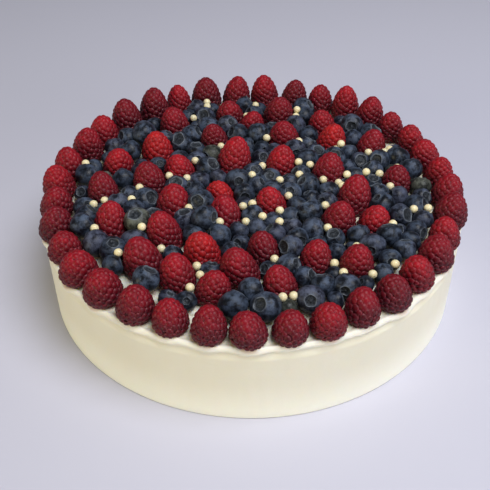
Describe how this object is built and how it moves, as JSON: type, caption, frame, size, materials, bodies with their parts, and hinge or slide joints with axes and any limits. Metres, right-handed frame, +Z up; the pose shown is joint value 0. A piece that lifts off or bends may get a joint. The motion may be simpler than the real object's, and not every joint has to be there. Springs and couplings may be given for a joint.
{
  "type": "wedding cake",
  "caption": "Round single-tier cream cake with a ring of upright raspberries round a heap of blueberries, raspberries and sugar pearls on top.",
  "frame": {"origin": "middle of the cake's flat underside, where it stands", "axes": "+Z up; -Y towards the viewer of the picture, +X to that viewer's right"},
  "size_m": [0.2758, 0.2751, 0.0851],
  "materials": {
    "whipped_cream": "smooth ivory whipped cream, soft satin",
    "raspberry_skin": "dark crimson drupelets with fine down, moist sheen",
    "blueberry_skin": "blue-black skin under a pale waxy bloom"
  },
  "bodies": {
    "root": {"cake": "whipped_cream", "raspberry_rim_01": "raspberry_skin", "raspberry_rim_02": "raspberry_skin", "raspberry_rim_03": "raspberry_skin", "raspberry_rim_04": "raspberry_skin", "raspberry_rim_05": "raspberry_skin", "raspberry_rim_06": "raspberry_skin", "raspberry_rim_07": "raspberry_skin", "raspberry_rim_08": "raspberry_skin", "raspberry_rim_09": "raspberry_skin", "raspberry_rim_10": "raspberry_skin", "raspberry_rim_11": "raspberry_skin", "raspberry_rim_12": "raspberry_skin", "raspberry_rim_13": "raspberry_skin", "raspberry_rim_14": "raspberry_skin", "raspberry_rim_15": "raspberry_skin", "raspberry_rim_16": "raspberry_skin", "raspberry_rim_17": "raspberry_skin", "raspberry_rim_18": "raspberry_skin", "raspberry_rim_19": "raspberry_skin", "raspberry_rim_20": "raspberry_skin", "raspberry_rim_21": "raspberry_skin", "raspberry_rim_22": "raspberry_skin", "raspberry_rim_23": "raspberry_skin", "raspberry_rim_24": "raspberry_skin", "raspberry_rim_25": "raspberry_skin", "raspberry_rim_26": "raspberry_skin", "raspberry_rim_27": "raspberry_skin", "raspberry_rim_28": "raspberry_skin", "raspberry_rim_29": "raspberry_skin", "raspberry_rim_30": "raspberry_skin", "raspberry_rim_31": "raspberry_skin", "raspberry_rim_32": "raspberry_skin", "raspberry_rim_33": "raspberry_skin", "raspberry_rim_34": "raspberry_skin", "raspberry_rim_35": "raspberry_skin", "raspberry_rim_36": "raspberry_skin", "berry_heap": "blueberry_skin"}
  },
  "joints": []
}
